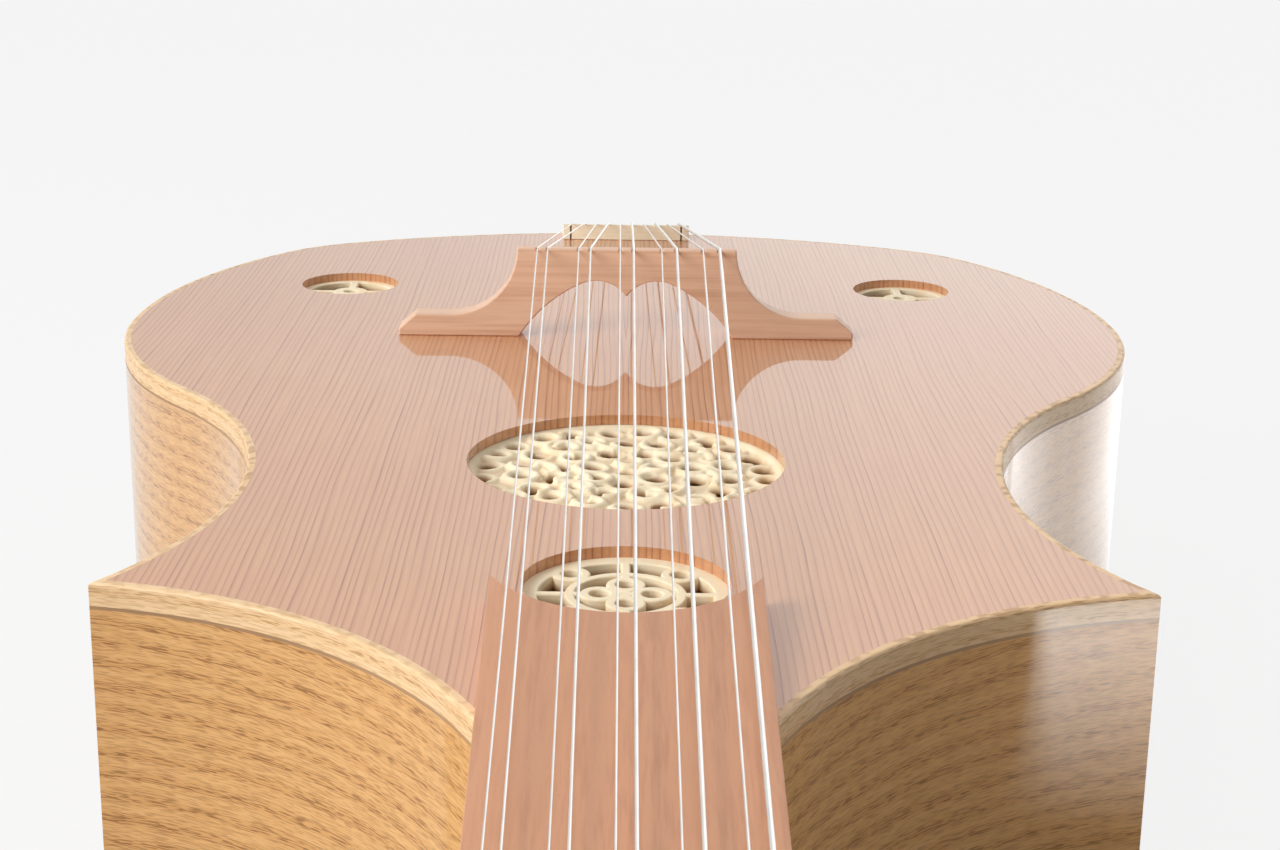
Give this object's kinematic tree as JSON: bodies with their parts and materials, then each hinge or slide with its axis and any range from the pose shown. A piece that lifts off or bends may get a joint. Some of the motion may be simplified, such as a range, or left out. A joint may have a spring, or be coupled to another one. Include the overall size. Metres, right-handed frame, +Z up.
{
  "type": "bouzouki",
  "caption": "Flat-backed bouzouki with a viol-shaped body, carved rosettes, an arched bridge, paired strings, a fretless neck and geared tuners that turn the string posts",
  "frame": {"origin": "On the outer face of the flat back, straight under the bridge, on the centre line", "axes": "+X to the bass strings, +Y along the strings from the headstock to the tail, +Z up out of the soundboard"},
  "size_m": [0.324, 0.9572, 0.1236],
  "materials": {
    "top_wood": "high-gloss lacquer",
    "oak": "high-gloss lacquer",
    "pale_wood": "raw, sanded",
    "carved_wood": "satin, carved",
    "red_wood": "satin oil",
    "dark_wood": "lacquered",
    "saddle_wood": "satin oil",
    "bone": "polished",
    "button": "polished",
    "brass": "brushed",
    "steel": "turned",
    "string_steel": "drawn wire, the thick strings wound"
  },
  "bodies": {
    "instrument": {"soundboard": "top_wood", "back_plate": "oak", "side_rib_left": "oak", "side_rib_right": "oak", "shoulder_rib_left": "oak", "shoulder_rib_right": "oak", "neck_block": "pale_wood", "tail_block": "pale_wood", "horn_block_left": "pale_wood", "horn_block_right": "pale_wood", "top_linings": "pale_wood", "back_linings": "pale_wood", "top_braces": "pale_wood", "back_braces": "pale_wood", "top_binding": "oak", "top_purfling": "dark_wood", "back_binding": "oak", "big_rosette": "carved_wood", "small_rosette": "carved_wood", "tiny_rosette_left": "carved_wood", "tiny_rosette_right": "carved_wood", "neck": "oak", "fingerboard": "red_wood", "headstock": "oak", "nut": "bone", "bridge": "red_wood", "tail_saddle": "saddle_wood", "hitch_pins": "brass", "tuner_plate_left": "brass", "tuner_plate_right": "brass", "post_bushings": "brass", "plate_screws": "steel", "strings_course_1": "string_steel", "strings_course_2": "string_steel", "strings_course_3": "string_steel", "strings_course_4": "string_steel", "strings_course_5": "string_steel"},
    "tuner_key_1": {"tuner_key_1": "button"},
    "tuner_post_1": {"tuner_post_1": "steel"},
    "tuner_key_2": {"tuner_key_2": "button"},
    "tuner_post_2": {"tuner_post_2": "steel"},
    "tuner_key_3": {"tuner_key_3": "button"},
    "tuner_post_3": {"tuner_post_3": "steel"},
    "tuner_key_4": {"tuner_key_4": "button"},
    "tuner_post_4": {"tuner_post_4": "steel"},
    "tuner_key_5": {"tuner_key_5": "button"},
    "tuner_post_5": {"tuner_post_5": "steel"},
    "tuner_key_6": {"tuner_key_6": "button"},
    "tuner_post_6": {"tuner_post_6": "steel"},
    "tuner_key_7": {"tuner_key_7": "button"},
    "tuner_post_7": {"tuner_post_7": "steel"},
    "tuner_key_8": {"tuner_key_8": "button"},
    "tuner_post_8": {"tuner_post_8": "steel"},
    "tuner_key_9": {"tuner_key_9": "button"},
    "tuner_post_9": {"tuner_post_9": "steel"},
    "tuner_key_10": {"tuner_key_10": "button"},
    "tuner_post_10": {"tuner_post_10": "steel"}
  },
  "joints": [
    {"name": "tuner_key_1_turn", "type": "hinge", "parent": "instrument", "child": "tuner_key_1", "pos_m": [-0.025, -0.64943, 0.04655], "axis": [1, 0, 0], "continuous": true},
    {"name": "tuner_post_1_turn", "type": "hinge", "parent": "instrument", "child": "tuner_post_1", "pos_m": [-0.025, -0.64395, 0.06652], "axis": [0, -0.2181, 0.9759], "continuous": true},
    {"name": "tuner_key_2_turn", "type": "hinge", "parent": "instrument", "child": "tuner_key_2", "pos_m": [-0.025, -0.67871, 0.04], "axis": [1, 0, 0], "continuous": true},
    {"name": "tuner_post_2_turn", "type": "hinge", "parent": "instrument", "child": "tuner_post_2", "pos_m": [-0.025, -0.67323, 0.05998], "axis": [0, -0.2181, 0.9759], "continuous": true},
    {"name": "tuner_key_3_turn", "type": "hinge", "parent": "instrument", "child": "tuner_key_3", "pos_m": [-0.025, -0.70798, 0.03346], "axis": [1, 0, 0], "continuous": true},
    {"name": "tuner_post_3_turn", "type": "hinge", "parent": "instrument", "child": "tuner_post_3", "pos_m": [-0.025, -0.70251, 0.05344], "axis": [0, -0.2181, 0.9759], "continuous": true},
    {"name": "tuner_key_4_turn", "type": "hinge", "parent": "instrument", "child": "tuner_key_4", "pos_m": [-0.025, -0.73726, 0.02692], "axis": [1, 0, 0], "continuous": true},
    {"name": "tuner_post_4_turn", "type": "hinge", "parent": "instrument", "child": "tuner_post_4", "pos_m": [-0.025, -0.73179, 0.04689], "axis": [0, -0.2181, 0.9759], "continuous": true},
    {"name": "tuner_key_5_turn", "type": "hinge", "parent": "instrument", "child": "tuner_key_5", "pos_m": [-0.025, -0.76654, 0.02037], "axis": [1, 0, 0], "continuous": true},
    {"name": "tuner_post_5_turn", "type": "hinge", "parent": "instrument", "child": "tuner_post_5", "pos_m": [-0.025, -0.76106, 0.04035], "axis": [0, -0.2181, 0.9759], "continuous": true},
    {"name": "tuner_key_6_turn", "type": "hinge", "parent": "instrument", "child": "tuner_key_6", "pos_m": [0.025, -0.76654, 0.02037], "axis": [1, 0, 0], "continuous": true},
    {"name": "tuner_post_6_turn", "type": "hinge", "parent": "instrument", "child": "tuner_post_6", "pos_m": [0.025, -0.76106, 0.04035], "axis": [0, -0.2181, 0.9759], "continuous": true},
    {"name": "tuner_key_7_turn", "type": "hinge", "parent": "instrument", "child": "tuner_key_7", "pos_m": [0.025, -0.73726, 0.02692], "axis": [1, 0, 0], "continuous": true},
    {"name": "tuner_post_7_turn", "type": "hinge", "parent": "instrument", "child": "tuner_post_7", "pos_m": [0.025, -0.73179, 0.04689], "axis": [0, -0.2181, 0.9759], "continuous": true},
    {"name": "tuner_key_8_turn", "type": "hinge", "parent": "instrument", "child": "tuner_key_8", "pos_m": [0.025, -0.70798, 0.03346], "axis": [1, 0, 0], "continuous": true},
    {"name": "tuner_post_8_turn", "type": "hinge", "parent": "instrument", "child": "tuner_post_8", "pos_m": [0.025, -0.70251, 0.05344], "axis": [0, -0.2181, 0.9759], "continuous": true},
    {"name": "tuner_key_9_turn", "type": "hinge", "parent": "instrument", "child": "tuner_key_9", "pos_m": [0.025, -0.67871, 0.04], "axis": [1, 0, 0], "continuous": true},
    {"name": "tuner_post_9_turn", "type": "hinge", "parent": "instrument", "child": "tuner_post_9", "pos_m": [0.025, -0.67323, 0.05998], "axis": [0, -0.2181, 0.9759], "continuous": true},
    {"name": "tuner_key_10_turn", "type": "hinge", "parent": "instrument", "child": "tuner_key_10", "pos_m": [0.025, -0.64943, 0.04655], "axis": [1, 0, 0], "continuous": true},
    {"name": "tuner_post_10_turn", "type": "hinge", "parent": "instrument", "child": "tuner_post_10", "pos_m": [0.025, -0.64395, 0.06652], "axis": [0, -0.2181, 0.9759], "continuous": true}
  ],
  "couplings": [
    {"joint": "tuner_post_1_turn", "follows": "tuner_key_1_turn", "ratio": -0.071429},
    {"joint": "tuner_post_2_turn", "follows": "tuner_key_2_turn", "ratio": -0.071429},
    {"joint": "tuner_post_3_turn", "follows": "tuner_key_3_turn", "ratio": -0.071429},
    {"joint": "tuner_post_4_turn", "follows": "tuner_key_4_turn", "ratio": -0.071429},
    {"joint": "tuner_post_5_turn", "follows": "tuner_key_5_turn", "ratio": -0.071429},
    {"joint": "tuner_post_6_turn", "follows": "tuner_key_6_turn", "ratio": -0.071429},
    {"joint": "tuner_post_7_turn", "follows": "tuner_key_7_turn", "ratio": -0.071429},
    {"joint": "tuner_post_8_turn", "follows": "tuner_key_8_turn", "ratio": -0.071429},
    {"joint": "tuner_post_9_turn", "follows": "tuner_key_9_turn", "ratio": -0.071429},
    {"joint": "tuner_post_10_turn", "follows": "tuner_key_10_turn", "ratio": -0.071429}
  ]
}
